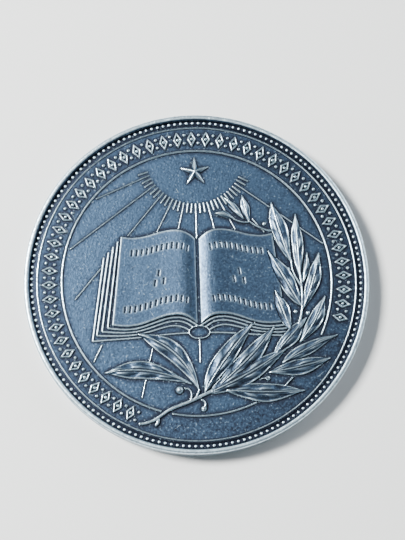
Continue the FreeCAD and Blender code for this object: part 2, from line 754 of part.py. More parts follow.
def make_wreath():
    """A plain wreath on the reverse: pointed leaves end to end in a circle."""
    body = new_body("reverse_wreath", "Dims.reverse_level")
    sketch = new_sketch(body, "WreathLeaf")
    lean = math.radians(size("wreath_lean"))
    half, bulge, radius = (size("wreath_" + key) for key in ("half_long", "bulge", "radius"))
    along = FreeCAD.Vector(math.sin(lean), math.cos(lean), 0)
    across = FreeCAD.Vector(along.y, -along.x, 0)
    middle = FreeCAD.Vector(radius, 0, 0)
    ends = (middle - along * half, middle + along * half)
    for side in (-1, 1):
        sketch.addGeometry(Part.Arc(ends[0], middle + across * bulge * side, ends[1]), False)
    leaf = pad(body, "WreathLeafPad", sketch, "wreath_height", down=True)
    polar(body, "Wreath", [leaf], "wreath_count")
    return body


# ---------------------------------------------------------------- assembly


def main():
    parts = [
        make_disc(),
        make_beads("bead_ring", "Dims.field_level - Dims.groove_depth"),
        make_line_circle("outer_line_circle", "Dims.field_level", "outer_line_radius"),
        make_line_circle("inner_line_circle", "Dims.field_level", "inner_line_radius",
                         openings=((-65.6, -25.4), (-106.6, -102.0))),
        make_band(),
        make_star(),
        make_rays(),
        make_beads("reverse_bead_ring", "Dims.reverse_level", upward=False),
        make_line_circle("reverse_line_circle", "Dims.reverse_level", "reverse_line_radius",
                         upward=-1),
        make_wreath(),
    ]
    oval = make_oval()
    laurel, over = make_laurel()
    parts += [oval] + laurel
    doc.recompute()

    field = size("field_level")
    laurel_tool = doc.addObject("Part::Feature", "laurel_tool")
    laurel_tool.Shape = Part.makeCompound(over)
    raised_tool = doc.addObject("Part::Feature", "raised_laurel_tool")
    raised_tool.Shape = Part.makeCompound(over)
    raised_tool.Placement.Base.z = field
    beams = combine("Part::Cut", "sun_beams", make_beams(), raised_tool)
    parts.append(beams)
    for label, side in (("book_page_left", -1), ("book_page_right", 1)):
        page = combine("Part::Cut", label, make_page(label, side), laurel_tool)
        page.setExpression("Placement.Base.z", "Dims.field_level")
        parts.append(page)

    spine_end = oval_prism()
    for label, side, uprights in (("leaf_edges_left", -1, True), ("leaf_edges_right", 1, False)):
        edges = [clear_of(clear_of(edge, over), [spine_end]) for edge in leaf_edges(side, uprights)]
        parts.append(plain(label, Part.makeCompound(edges), field))
    doc.recompute()

    for item in doc.Objects:
        if "Invalid" in item.State or "Error" in item.State:
            raise RuntimeError(f"{item.Name}: {item.State}")
    for part in parts:
        if part.Shape.isNull() or not part.Shape.isValid():
            raise RuntimeError(f"{part.Label}: bad shape")
    os.makedirs("parts", exist_ok=True)
    for part in parts:
        part.Shape.exportStep(f"parts/{part.Label}.step")
        box = part.Shape.BoundBox
        print(f"{part.Label:22s} {len(part.Shape.Solids):4d} solids  volume {part.Shape.Volume:10.4f}"
              f"  z {box.ZMin:.3f} to {box.ZMax:.3f}")


main()
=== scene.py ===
import math

import bmesh
import bpy
import numpy as np
from mathutils import Matrix, Vector
from mathutils.bvhtree import BVHTree


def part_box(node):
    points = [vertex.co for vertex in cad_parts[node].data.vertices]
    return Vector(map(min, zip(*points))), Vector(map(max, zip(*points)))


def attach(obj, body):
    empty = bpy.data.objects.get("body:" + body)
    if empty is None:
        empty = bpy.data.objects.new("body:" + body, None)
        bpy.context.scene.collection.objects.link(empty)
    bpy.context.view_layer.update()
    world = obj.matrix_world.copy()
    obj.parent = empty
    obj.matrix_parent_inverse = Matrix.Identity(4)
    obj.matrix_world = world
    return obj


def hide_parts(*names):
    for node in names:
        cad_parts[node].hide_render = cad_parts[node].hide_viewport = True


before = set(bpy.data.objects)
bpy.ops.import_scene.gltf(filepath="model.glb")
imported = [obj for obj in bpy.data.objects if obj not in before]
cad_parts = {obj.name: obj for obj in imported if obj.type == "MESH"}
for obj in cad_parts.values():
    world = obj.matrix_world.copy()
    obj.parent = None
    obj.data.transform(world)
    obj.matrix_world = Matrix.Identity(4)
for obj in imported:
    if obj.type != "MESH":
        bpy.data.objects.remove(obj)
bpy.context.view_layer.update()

# The medal's surface is sculpted in millimetres and made in metres.
MM = 0.001

# ---------------------------------------------------------------- sizes from the frame

DISC_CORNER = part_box("medal_disc")[1] / MM
RADIUS = DISC_CORNER.x
HEIGHT = DISC_CORNER.z
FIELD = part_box("star")[0].z / MM
REVERSE_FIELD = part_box("reverse_wreath")[1].z / MM
GROOVE_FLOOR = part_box("bead_ring")[0].z / MM
BAND_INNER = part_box("inner_line_circle")[1].x / MM

PAGE_NODES = ["book_page_left", "book_page_right"]
BOOK_NODES = PAGE_NODES + ["leaf_edges_left", "leaf_edges_right", "spine_oval"]
LEAF_NODES = sorted(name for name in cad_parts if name.startswith("laurel_leaf_"))
LAUREL_NODES = LEAF_NODES + ["laurel_stem", "laurel_berries"]
SKY_NODES = ["star", "sun_rays", "sun_beams", "inner_line_circle"]
BAND_NODES = ["ornament_band", "outer_line_circle"]
GROUPS = (BOOK_NODES, LAUREL_NODES, SKY_NODES, BAND_NODES)
LAUREL_GROUP = GROUPS.index(LAUREL_NODES)
BEAD_NODES = ["bead_ring", "reverse_bead_ring", "reverse_line_circle"]

# ---------------------------------------------------------------- relief as a height map

# Rays stand RAY_STEP mm apart. The first pass looks at one in FIRST_PASS each way, and one in
# SKIN_STEP each way is a corner of a skin.
RAY_STEP = 0.025
FIRST_PASS = 4
SKIN_STEP = 2
SOFTENING = 0.032
EDGE_CUT = 0.012
SKIRT = 0.04
SPREAD_STEPS = 4

# The relief is worn where it stands over its own blur and grimy where it lies under it. The
# heights in mm are those of full wear and full grime.
FINE_BLUR, BROAD_BLUR = 0.12, 0.3
FINE_WEAR, BROAD_WEAR = 0.055, 0.4
FINE_GRIME, BROAD_GRIME = 0.05, 0.12
PAGE_WEAR = 0.5
LEAF_WEAR = 0.4

# A leaf's heights and lengths in mm. Places and widths across it are shares of the way from its
# edge to its midrib, leans are in radians, and veins are counted across a half and along a mm.
LEAF_SEED = 7
LEAF_SLICE = 0.15
LEAF_WALL, LEAF_CREST = 0.2, 0.5
LEAST_RIDGE = 0.04
RIB_DEGREE = 4
LEAF_BASE, SLIM_LEAF = 0.17, 0.35
FOLD_START, FOLD_RISE = 0.2, 0.24
LIP, LIP_SWAY, LIP_WIDTH = 0.09, 0.03, 0.11
SCOOP, SCOOP_PLACE, SCOOP_WIDTH = -0.035, 0.3, 0.16
WAVE, WAVE_LEAN, WAVE_POWER = 0.075, 2.2, 0.7
SLOW_WAVE, SLOW_LEAN, SLOWER = 0.045, -1.5, 1.7
WAVES_END = 0.9
LEFT_PACE, RIGHT_PACE = (2.3, 3.2), (2.0, 3.0)
MIDRIB, MIDRIB_WIDTH = 0.06, 0.06
RIB_GROOVE, RIB_GROOVE_PLACE, RIB_GROOVE_WIDTH = -0.09, 0.15, 0.07
VEIN, VEINS_ACROSS, VEINS_ALONG, VEIN_SWAY, VEIN_SWAY_PACE = 0.007, 2.6, 0.25, 0.3, 0.8


def node_mesh(names):
    """Corners in mm and triangles of CAD nodes together, and which node each triangle is of."""
    corners, triangles, owners = [], [], []
    for index, name in enumerate(names):
        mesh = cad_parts[name].data
        mesh.calc_loop_triangles()
        points = np.zeros(len(mesh.vertices) * 3)
        mesh.vertices.foreach_get("co", points)
        faces = np.zeros(len(mesh.loop_triangles) * 3, int)
        mesh.loop_triangles.foreach_get("vertices", faces)
        faces = faces.reshape(-1, 3) + sum(len(block) for block in corners)
        corners.append(points.reshape(-1, 3) / MM)
        triangles.append(faces)
        owners.append(np.full(len(faces), index))
    return np.concatenate(corners), np.concatenate(triangles), np.concatenate(owners)


def spread(mask):
    """The mask grown by one cell each way."""
    grown = mask.copy()
    grown[1:] |= mask[:-1]
    grown[:-1] |= mask[1:]
    grown[:, 1:] |= mask[:, :-1]
    grown[:, :-1] |= mask[:, 1:]
    return grown


def blur(field, sigma):
    """A Gaussian blur of sigma mm."""
    rows = np.fft.fftfreq(field.shape[0], RAY_STEP)[:, None]
    columns = np.fft.rfftfreq(field.shape[1], RAY_STEP)[None, :]
    gain = np.exp(-2 * (math.pi * sigma) ** 2 * (rows ** 2 + columns ** 2))
    return np.fft.irfft2(np.fft.rfft2(field) * gain, field.shape)


def cast(names):
    """The height over the field at each ray, and the index of the node it meets, or -1."""
    corners, triangles, owners = node_mesh(names)
    tree = BVHTree.FromPolygons(corners.tolist(), triangles.tolist())
    count = int(2 * RADIUS / RAY_STEP)
    axis = (np.arange(count) + 0.5) * RAY_STEP - RADIUS
    height = np.zeros((count, count))
    owner = np.full((count, count), -1)
    down = Vector((0, 0, -1))

    def meet(rows, columns):
        for i, j in zip(rows.tolist(), columns.tolist()):
            hit = tree.ray_cast(Vector((axis[j], axis[i], HEIGHT + 1)), down)
            if hit[0] is not None:
                height[i, j] = hit[0].z - FIELD
                owner[i, j] = owners[hit[2]]

    half = FIRST_PASS // 2
    first = np.arange(half, count, FIRST_PASS)
    rows, columns = np.meshgrid(first, first, indexing="ij")
    meet(rows.ravel(), columns.ravel())
    seen = spread((owner >= 0)[half::FIRST_PASS, half::FIRST_PASS])
    rows, columns = np.nonzero(np.kron(seen, np.ones((FIRST_PASS, FIRST_PASS), bool)))
    meet(rows, columns)
    return axis, height, owner


def mound(distance, width):
    """A smooth mound 1 high at distance 0."""
    return np.exp(-(distance / width) ** 2)


def find_rib(x, y, height, foot):
    """Each cell's place along a leaf and aside of its rib, and the ridge's height there."""
    centre = np.array([x.mean(), y.mean()])
    offsets = np.stack([x, y], 1) - centre
    axis = np.linalg.eigh(np.cov(offsets.T))[1][:, 1]
    if axis @ (centre - foot) < 0:
        axis = -axis
    along = offsets @ axis
    aside = offsets @ np.array([-axis[1], axis[0]])
    bins = np.round((along - along.min()) / LEAF_SLICE).astype(int)
    order = np.lexsort((height, bins))
    last = np.nonzero(np.diff(np.append(bins[order], bins.max() + 1)))[0]
    ridge_cells = order[last]
    window = np.array([0.25, 0.5, 0.25])
    ridge_height = np.convolve(np.pad(height[ridge_cells], 1, "edge"), window, "valid")
    rib = np.polyfit(along[ridge_cells], aside[ridge_cells], RIB_DEGREE)
    from_rib = aside - np.polyval(rib, along)
    return along, from_rib, np.interp(along, along[ridge_cells], ridge_height)


def sculpt_leaf(x, y, height, rng, foot):
    """A folded leaf's heights: raised lips, scooped halves, a midrib in its groove, veins."""
    along, from_rib, ridge = find_rib(x, y, height, foot)
    ridge = np.maximum(ridge, LEAF_WALL + LEAST_RIDGE)
    rise = np.clip((height - LEAF_WALL) / (ridge - LEAF_WALL), 0, 1)
    fullness = np.clip((ridge - LEAF_WALL) / (LEAF_CREST - LEAF_WALL), 0, 1)

    turn = 2 * math.pi
    phase = rng.uniform(0, turn, 8)
    left = from_rib > 0
    pace = np.where(left, rng.uniform(*LEFT_PACE), rng.uniform(*RIGHT_PACE))
    wave = np.sin(turn * along / pace + WAVE_LEAN * rise + np.where(left, phase[0], phase[1]))
    wave = np.sign(wave) * np.abs(wave) ** WAVE_POWER
    slow = np.sin(turn * along / (SLOWER * pace) + SLOW_LEAN * rise
                  + np.where(left, phase[2], phase[3]))
    inner = np.sin(math.pi * np.clip(rise / WAVES_END, 0, 1))
    fold = FOLD_START + FOLD_RISE * rise
    lip = (LIP + LIP_SWAY * slow) * mound(rise, LIP_WIDTH)
    scoop = SCOOP * mound(rise - SCOOP_PLACE, SCOOP_WIDTH)
    swell = (WAVE * wave + SLOW_WAVE * slow) * inner
    midrib = MIDRIB * mound(1 - rise, MIDRIB_WIDTH)
    groove = RIB_GROOVE * mound(1 - rise - RIB_GROOVE_PLACE, RIB_GROOVE_WIDTH)
    sway = VEIN_SWAY * np.sin(along / VEIN_SWAY_PACE + phase[4])
    streak = VEINS_ACROSS * rise + VEINS_ALONG * along + sway
    veins = VEIN * np.sin(turn * streak + np.where(left, phase[5], phase[6])) * inner
    shaped = fold + lip + scoop + swell + midrib + groove + veins
    return LEAF_BASE + (shaped - LEAF_BASE) * (SLIM_LEAF + (1 - SLIM_LEAF) * fullness)


def cells_of(owner, names, members):
    """Where a cell is of one of these nodes."""
    return np.isin(owner, [names.index(name) for name in members])


def relief():
    """The front's softened heights, wear and grime, and the group that each cell is of."""
    names = [name for members in GROUPS for name in members]
    axis, height, owner = cast(names)
    x, y = np.meshgrid(axis, axis)
    rng = np.random.default_rng(LEAF_SEED)
    foot = np.array([0.0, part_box("laurel_berries")[0].y / MM])
    for name in LEAF_NODES:
        mine = owner == names.index(name)
        height[mine] = sculpt_leaf(x[mine], y[mine], height[mine], rng, foot)
    soft = blur(height, SOFTENING)
    groups = np.full(owner.shape, -1)
    for group, members in enumerate(GROUPS):
        groups[cells_of(owner, names, members)] = group
    for _ in range(SPREAD_STEPS):
        for shift, dim in ((1, 0), (-1, 0), (1, 1), (-1, 1)):
            moved = np.roll(groups, shift, dim)
            groups = np.where(groups < 0, moved, groups)
    laurel = groups == LAUREL_GROUP
    fine = soft - blur(height, FINE_BLUR)
    broad = np.where(laurel, soft - blur(height, BROAD_BLUR), 0)
    worn = np.clip(np.maximum(fine / FINE_WEAR, broad / BROAD_WEAR), 0, 1)
    worn = np.where(laurel, LEAF_WEAR * worn + (1 - LEAF_WEAR) * worn ** 3, worn)
    worn = np.where(cells_of(owner, names, PAGE_NODES), PAGE_WEAR * worn, worn)
    sunk = np.clip(np.maximum(-fine / FINE_GRIME, -broad / BROAD_GRIME), 0, 1)
    return axis, (soft, worn, sunk), groups


def new_object(name, mesh):
    piece = bpy.data.objects.new(name, mesh)
    bpy.context.scene.collection.objects.link(piece)
    return piece


def mark(mesh, name, values):
    """A number at each of the mesh's corners, for its material; the rest are 0."""
    numbers = np.zeros(len(mesh.vertices))
    numbers[:len(values)] = values
    mesh.attributes.new(name, "FLOAT", "POINT").data.foreach_set("value", numbers)


def make_skin(name, axis, layers, mask):
    """A closed mesh of the relief where the mask holds: its surface, a skirt and a base."""
    step = slice(SKIN_STEP // 2, None, SKIN_STEP)
    axis, mask = axis[step], mask[step, step]
    soft, worn, sunk = (layer[step, step] for layer in layers)
    keep = mask & (soft > EDGE_CUT)
    full = keep[:-1, :-1] & keep[1:, :-1] & keep[:-1, 1:] & keep[1:, 1:]
    used = np.zeros(keep.shape, bool)
    for rows in (slice(None, -1), slice(1, None)):
        for columns in (slice(None, -1), slice(1, None)):
            used[rows, columns] |= full
    number = np.full(keep.shape, -1)
    number[used] = np.arange(used.sum())
    rows, columns = np.nonzero(used)
    top = np.stack([axis[columns], axis[rows], FIELD + soft[rows, columns]], 1)
    i, j = np.nonzero(full)
    quads = np.stack([number[i, j], number[i, j + 1], number[i + 1, j + 1], number[i + 1, j]], 1)
    edges = np.concatenate([quads[:, [k, (k + 1) % 4]] for k in range(4)])
    total = len(top)
    keys = edges[:, 0] * total + edges[:, 1]
    outer = edges[~np.isin(keys, edges[:, 1] * total + edges[:, 0])]
    rim = np.unique(outer)
    below = np.full(total, -1)
    below[rim] = total + np.arange(len(rim))
    base = top[rim].copy()
    base[:, 2] = FIELD - SKIRT
    skirt = np.stack([outer[:, 1], outer[:, 0], below[outer[:, 0]], below[outer[:, 1]]], 1)
    mesh = bpy.data.meshes.new(name)
    points = np.concatenate([top, base]) * MM
    mesh.from_pydata(points.tolist(), [], np.concatenate([quads, skirt]).tolist())
    mesh.polygons.foreach_set("use_smooth", [True] * len(quads) + [False] * len(skirt))
    mesh.update()
    shape = bmesh.new()
    shape.from_mesh(mesh)
    border = [edge for edge in shape.edges if edge.is_boundary]
    bmesh.ops.triangle_fill(shape, edges=border, use_beauty=False, normal=(0, 0, -1))
    shape.to_mesh(mesh)
    shape.free()
    mark(mesh, "worn", worn[used])
    mark(mesh, "sunk", sunk[used])
    return new_object(name, mesh)


# ---------------------------------------------------------------- blank

# The section's sizes in mm, and the radii of rings on its flat stretches.
RIM_TOP = 0.48
RIM_SLOPE = 0.14
ROUNDING, ROUNDING_STEPS = 0.25, 7
SHOULDER, SHOULDER_STEPS = 0.3, 8
SHOULDER_OVERHANG, SHOULDER_TURN = 0.17, 170
WALL_STEPS = 12
GROOVE_WIDTH = 0.6
GROOVE_LIP, GROOVE_WALL, GROOVE_MARGIN = 0.01, 0.04, 0.2
FIELD_RINGS = (0.0, 4.0, 9.0, 14.0)
BAND_EDGE = 0.2
BAND_RING = 17.0
BAND_MARGINS = (0.22, 0.08)
REVERSE_RINGS = (17.0, 12.0, 6.0, 0.0)
TURNS = 720

# The rims are worn by up to about WEAR_DEPTH mm and knocked where a ripple passes KNOCK_LEAST.
WEAR_DEPTH, WEAR_SEED, WEAR_WAVES = 0.012, 3, range(3, 90, 4)
KNOCK_DEPTH, KNOCK_SEED, KNOCK_WAVES = 0.05, 5, range(20, 340, 7)
KNOCK_LEAST = 2.1
INWARD_WEAR = 0.6
WEAR_START = 0.2
WALL_FADE = 8

# Where the blank's marks begin and over what width they grow, in mm, and how strong they are.
TOP_START, TOP_WIDTH = 0.08, 0.1
# The last of these keeps the side wall darker than the rim top.
WALL_START, WALL_WIDTH, WALL_DARKENING = 0.25, 0.3, 0.75
GROOVE_START, GROOVE_FADE = 0.2, 0.1
THINNING_START, THINNING_WIDTH, THINNING = 0.35, 0.2, 0.45
BAND_PATINA = 0.34


def arc(centre, radius, start, end, count):
    """Points of a profile arc, angles in degrees from +r towards +z."""
    return [(centre[0] + radius * math.cos(math.radians(start + (end - start) * i / count)),
             centre[1] + radius * math.sin(math.radians(start + (end - start) * i / count)))
            for i in range(count + 1)]


def blank_profile():
    """The blank's section from the middle of the front to the middle of the reverse."""
    rim = RADIUS - RIM_TOP
    foot = rim - RIM_SLOPE
    inner = foot - GROOVE_WIDTH
    shoulder = rim - SHOULDER_OVERHANG + SHOULDER
    corner = RADIUS - ROUNDING
    wall_height = HEIGHT - 2 * ROUNDING
    radii = [*FIELD_RINGS, BAND_INNER - BAND_EDGE, BAND_INNER + BAND_EDGE, BAND_RING]
    front = [(r, FIELD) for r in radii + [inner - margin for margin in BAND_MARGINS]]
    front += [(inner, FIELD - GROOVE_LIP), (inner + GROOVE_WALL, GROOVE_FLOOR)]
    front += [(r, GROOVE_FLOOR) for r in (inner + GROOVE_MARGIN, foot - GROOVE_MARGIN, foot)]
    top = arc((shoulder, HEIGHT - SHOULDER), SHOULDER, SHOULDER_TURN, 90, SHOULDER_STEPS)
    top += arc((corner, HEIGHT - ROUNDING), ROUNDING, 90, 0, ROUNDING_STEPS)
    wall = [(RADIUS, HEIGHT - ROUNDING - wall_height * i / WALL_STEPS)
            for i in range(1, WALL_STEPS)]
    bottom = arc((corner, ROUNDING), ROUNDING, 0, -90, ROUNDING_STEPS)
    bottom += arc((shoulder, SHOULDER), SHOULDER, -90, -SHOULDER_TURN, SHOULDER_STEPS)
    reverse = [(r, REVERSE_FIELD) for r in (foot, *REVERSE_RINGS)]
    return front + top + wall + bottom + reverse


def ripple(angle, seed, waves):
    """A smooth closed random line round the medal, about 1 high."""
    rng = np.random.default_rng(seed)
    total = np.zeros_like(angle)
    for wave in waves:
        total += rng.normal() * np.cos(wave * angle + rng.uniform(0, 2 * math.pi))
    return total / math.sqrt(len(waves))


def make_blank():
    """The blank turned from its section, its rims a little worn and knocked."""
    profile = blank_profile()
    angle = np.arange(TURNS) * 2 * math.pi / TURNS
    wear = np.maximum(WEAR_DEPTH * ripple(angle, WEAR_SEED, WEAR_WAVES), 0)
    knocks = np.maximum(ripple(angle, KNOCK_SEED, KNOCK_WAVES) - KNOCK_LEAST, 0) * KNOCK_DEPTH
    points, rings = [], []
    for r, z in profile:
        if r == 0:
            rings.append([len(points)])
            points.append((0, 0, z))
            continue
        on_rim = max(0.0, min(1.0, (r - RADIUS + RIM_TOP + RIM_SLOPE) / WEAR_START))
        radius = r - on_rim * (knocks + wear * INWARD_WEAR)
        lift = -on_rim * (wear + knocks) * (1 if z > HEIGHT / 2 else -1)
        lift = lift * min(1.0, (abs(z - HEIGHT / 2) * 2 / HEIGHT) ** WALL_FADE)
        rings.append(list(range(len(points), len(points) + TURNS)))
        points += np.stack([radius * np.cos(angle), radius * np.sin(angle), z + lift], 1).tolist()
    faces = []
    for near, far in zip(rings, rings[1:]):
        for k in range(TURNS):
            following = (k + 1) % TURNS
            if len(near) == 1:
                faces.append((near[0], far[k], far[following]))
            elif len(far) == 1:
                faces.append((near[k], far[0], near[following]))
            else:
                faces.append((near[k], far[k], far[following], near[following]))
    mesh = bpy.data.meshes.new("blank")
    place = np.array(points)
    mesh.from_pydata((place * MM).tolist(), [], faces)
    mesh.polygons.foreach_set("use_smooth", [True] * len(faces))
    mesh.update()
    mark_blank(mesh, np.hypot(place[:, 0], place[:, 1]), place[:, 2])
    return new_object("blank", mesh)


def mark_blank(mesh, radius, level):
    """Wear on the rims, the side wall kept darker than the rim top, and patina in the groove and
    on the band.
    """
    rim = RADIUS - RIM_TOP - RIM_SLOPE
    on_top = np.clip((radius - rim - TOP_START) / TOP_WIDTH, 0, 1)
    depth = np.minimum(level, HEIGHT - level)
    on_wall = np.clip((depth - WALL_START) / WALL_WIDTH, 0, 1) * on_top
    # The side wall gets a lower worn value, so it stays darker than the rim top.
    mark(mesh, "worn", on_top - WALL_DARKENING * on_wall)
    in_groove = np.clip((radius - rim + GROOVE_WIDTH + GROOVE_START) / GROOVE_FADE, 0, 1)
    in_groove -= THINNING * np.clip((radius - rim + THINNING_START) / THINNING_WIDTH, 0, 1)
    in_band = np.clip((radius - BAND_INNER + BAND_EDGE) / (2 * BAND_EDGE), 0, 1)
    in_band = in_band * (level > HEIGHT / 2)
    mark(mesh, "sunk", np.maximum(in_groove, BAND_PATINA * in_band) * (1 - on_top))


# ---------------------------------------------------------------- materials

# The darkest colour, for patina and for painted shade in what is closed in and towards the lower
# right.
PATINA_AND_SHADE = (0.015, 0.018, 0.028)
DULL = (0.048, 0.081, 0.132)
CLEAN = (0.72, 0.89, 0.98)

# Each noise's grain in mm, detail and roughness, and a scuff's direction and stretch.
CLOUD = (2.6, 4.0, 0.55)
BLOTCH = (0.5, 4.0, 0.6)
SPECK = (0.24, 3.0, 0.6)
FINE = (0.09, 2.0, 0.6)
SCUFFS = (0.08, 2.0, 0.5, (-62, 30))
CROSS_SCUFFS = (0.07, 2.0, 0.5, (38, 40))

# A pair holds a ramp's two ends. Four numbers are those and what the ramp gives at them.
SLOPE_WORN = (0.45, 0.9)
SLOPE_SUNK = (0.15, 0.55, 0.8, 0.0)

# Patina in what is sunk and in clouds, blotches, specks; patina and painted shade in what is
# closed in;
# painted shade towards the lower right and painted light towards the upper left.
OPEN = 0.99
SUNK_PATINA = 0.75
# Painted light and shade: lighter towards the upper left, darker towards the lower right, across
# X less Y in metres.
LOWER_RIGHT_SHADE = (-RADIUS * MM, RADIUS * MM, -0.08, 0.2)
CLOUD_PATINA = (0.3, 0.75, 0.2, -0.12)
BLOTCH_PATINA = (0.3, 0.7, 0.24, -0.16)
SPECK_PATINA = (0.32, 0.66, 0.32, -0.22)

# Wear: uneven on worn places, over the highest relief in mm, and in bright flecks and scuffs.
BLOTCH_WEAR, LEAST_WEAR = (0.3, 0.6), 0.5
CREST_START, CREST_END = 0.1, 0.5
SPECK_LOSS = (0.55, 0.8, 0.0, 0.35)
FLECKS = (0.60, 0.76, 0.0, 0.3)
FLECK_CLOUDS = (0.3, 0.65, 0.5, 1.0)
SCUFF_WEAR = (0.74, 0.82, 0.0, 0.6)

ROUGHNESS = (0.2, 0.8, 0.37, 0.47)
PATINA_ROUGHNESS = 0.12

# How many mm the surface's grain stands up where each noise is 1.
FINE_DEPTH, SPECK_DEPTH, BLOTCH_DEPTH, SCUFF_DEPTH = 0.006, 0.026, 0.02, 0.004


class Nodes:
    """A material's node tree, with short ways to add nodes."""

    def __init__(self, name):
        self.material = bpy.data.materials.new(name)
        self.material.use_nodes = True
        self.tree = self.material.node_tree
        self.shader = self.tree.nodes["Principled BSDF"]
        self.place = self.add("ShaderNodeTexCoord").outputs["Object"]

    def add(self, kind, **settings):
        node = self.tree.nodes.new(kind)
        for key, value in settings.items():
            setattr(node, key, value)
        return node

    def link(self, source, target):
        self.tree.links.new(source, target)

    def noise(self, grain, detail, rough, stretch=None):
        """Noise whose grains are about this many mm across."""
        node = self.add("ShaderNodeTexNoise")
        place = self.place
        if stretch:
            turn = self.add("ShaderNodeMapping", vector_type="TEXTURE")
            turn.inputs["Rotation"].default_value = (0, 0, math.radians(stretch[0]))
            turn.inputs["Scale"].default_value = (stretch[1], 1, 1)
            self.link(place, turn.inputs["Vector"])
            place = turn.outputs["Vector"]
        self.link(place, node.inputs["Vector"])
        node.inputs["Scale"].default_value = 1 / (grain * MM)
        node.inputs["Detail"].default_value = detail
        node.inputs["Roughness"].default_value = rough
        return node.outputs["Fac"]

    def math(self, operation, first, second=0.0, clamp=False):
        node = self.add("ShaderNodeMath", operation=operation, use_clamp=clamp)
        for socket, value in zip(node.inputs, (first, second)):
            if isinstance(value, (int, float)):
                socket.default_value = value
            else:
                self.link(value, socket)
        return node.outputs[0]

    def ramp(self, value, low, high, to_low=0.0, to_high=1.0, smooth=True):
        node = self.add("ShaderNodeMapRange", clamp=True)
        node.interpolation_type = "SMOOTHSTEP" if smooth else "LINEAR"
        self.link(value, node.inputs["Value"])
        for key, number in (("From Min", low), ("From Max", high), ("To Min", to_low),
                            ("To Max", to_high)):
            node.inputs[key].default_value = number
        return node.outputs["Result"]

    def mix(self, factor, first, second):
        """A colour between two colours, each a triple or a socket."""
        node = self.add("ShaderNodeMix", data_type="RGBA")
        self.link(factor, node.inputs["Factor"])
        for socket, value in ((node.inputs[6], first), (node.inputs[7], second)):
            if isinstance(value, tuple):
                socket.default_value = (*value, 1)
            else:
                self.link(value, socket)
        return node.outputs[2]


def make_silver(name, wear, grain=1.0, marks=True, lightness=0.0, reach=0.5, shade=0.95,
                closest=0.66, polish=0.13):
    """Antiqued nickel silver: dull blue-grey metal, dark in its recesses, bright where worn.

    Wear is how bright worn metal is, lightness how bright the highest relief is, grain how
    uneven the surface, and polish how much smoother it is where worn. Patina and painted shade
    grow by shade where the surface is as closed in as closest says, by what is within reach mm:
    the colour darkens beside whatever stands near, as patina gathers and as shade falls there.
    Painted shade also darkens the colour towards the lower right, and painted light lightens it
    towards the upper left. Without marks on the mesh, its slope says where it is worn or sunk.
    """
    nodes = Nodes(name)
    shelter = nodes.add("ShaderNodeAmbientOcclusion", samples=8)
    shelter.inputs["Distance"].default_value = reach * MM
    if marks:
        worn = nodes.add("ShaderNodeAttribute", attribute_name="worn").outputs["Fac"]
        sunk = nodes.add("ShaderNodeAttribute", attribute_name="sunk").outputs["Fac"]
    else:
        normal = nodes.add("ShaderNodeSeparateXYZ")
        nodes.link(nodes.add("ShaderNodeTexCoord").outputs["Normal"], normal.inputs[0])
        level = nodes.math("ABSOLUTE", normal.outputs["Z"])
        worn = nodes.ramp(level, *SLOPE_WORN)
        sunk = nodes.ramp(level, *SLOPE_SUNK)

    cloud, blotch, speck, fine = (nodes.noise(*kind) for kind in (CLOUD, BLOTCH, SPECK, FINE))
    scuffs = nodes.math("MAXIMUM", nodes.noise(*SCUFFS), nodes.noise(*CROSS_SCUFFS))
    place = nodes.add("ShaderNodeSeparateXYZ")
    nodes.link(nodes.place, place.inputs[0])

    # Patina and painted shade: the colour darkens where ambient occlusion finds things standing
    # close by.
    closed = nodes.ramp(shelter.outputs["AO"], OPEN, closest, 0.0, shade, False)
    dark = nodes.math("ADD", closed, nodes.math("MULTIPLY", sunk, SUNK_PATINA))
    # Painted shade darkens the colour towards the lower right, and painted light lightens it
    # towards the upper left.
    lean = nodes.math("SUBTRACT", place.outputs["X"], place.outputs["Y"])
    for value, ramp in ((lean, LOWER_RIGHT_SHADE), (cloud, CLOUD_PATINA), (blotch, BLOTCH_PATINA),
                        (speck, SPECK_PATINA)):
        dark = nodes.math("ADD", dark, nodes.ramp(value, *ramp))
    dark = nodes.math("MULTIPLY", dark, 1.0, clamp=True)

    crest = nodes.ramp(place.outputs["Z"], (FIELD + CREST_START) * MM, (FIELD + CREST_END) * MM,
                       0.0, lightness)
    patches = nodes.ramp(blotch, *BLOTCH_WEAR, LEAST_WEAR * wear, wear)
    rubbed = nodes.math("MULTIPLY", worn, patches)
    rubbed = nodes.math("MAXIMUM", rubbed, crest)
    rubbed = nodes.math("SUBTRACT", rubbed, nodes.ramp(speck, *SPECK_LOSS))
    flecks = nodes.ramp(speck, *FLECKS)
    flecks = nodes.math("MULTIPLY", flecks, nodes.ramp(cloud, *FLECK_CLOUDS))
    rubbed = nodes.math("MAXIMUM", rubbed, flecks)
    rubbed = nodes.math("MAXIMUM", rubbed, nodes.ramp(scuffs, *SCUFF_WEAR), clamp=True)

    metal = nodes.mix(dark, DULL, PATINA_AND_SHADE)
    nodes.link(nodes.mix(rubbed, metal, CLEAN), nodes.shader.inputs["Base Color"])
    nodes.shader.inputs["Metallic"].default_value = 1.0

    rough = nodes.ramp(speck, *ROUGHNESS)
    rough = nodes.math("ADD", rough, nodes.math("MULTIPLY", rubbed, -polish))
    rough = nodes.math("ADD", rough, nodes.math("MULTIPLY", dark, PATINA_ROUGHNESS), clamp=True)
    nodes.link(rough, nodes.shader.inputs["Roughness"])

    surface = nodes.math("MULTIPLY", fine, FINE_DEPTH * grain)
    for value, depth in ((speck, SPECK_DEPTH), (blotch, BLOTCH_DEPTH), (scuffs, SCUFF_DEPTH)):
        surface = nodes.math("ADD", surface, nodes.math("MULTIPLY", value, depth * grain))
    bump = nodes.add("ShaderNodeBump")
    bump.inputs["Distance"].default_value = MM
    bump.inputs["Strength"].default_value = 1.0
    nodes.link(surface, bump.inputs["Height"])
    nodes.link(bump.outputs["Normal"], nodes.shader.inputs["Normal"])
    return nodes.material


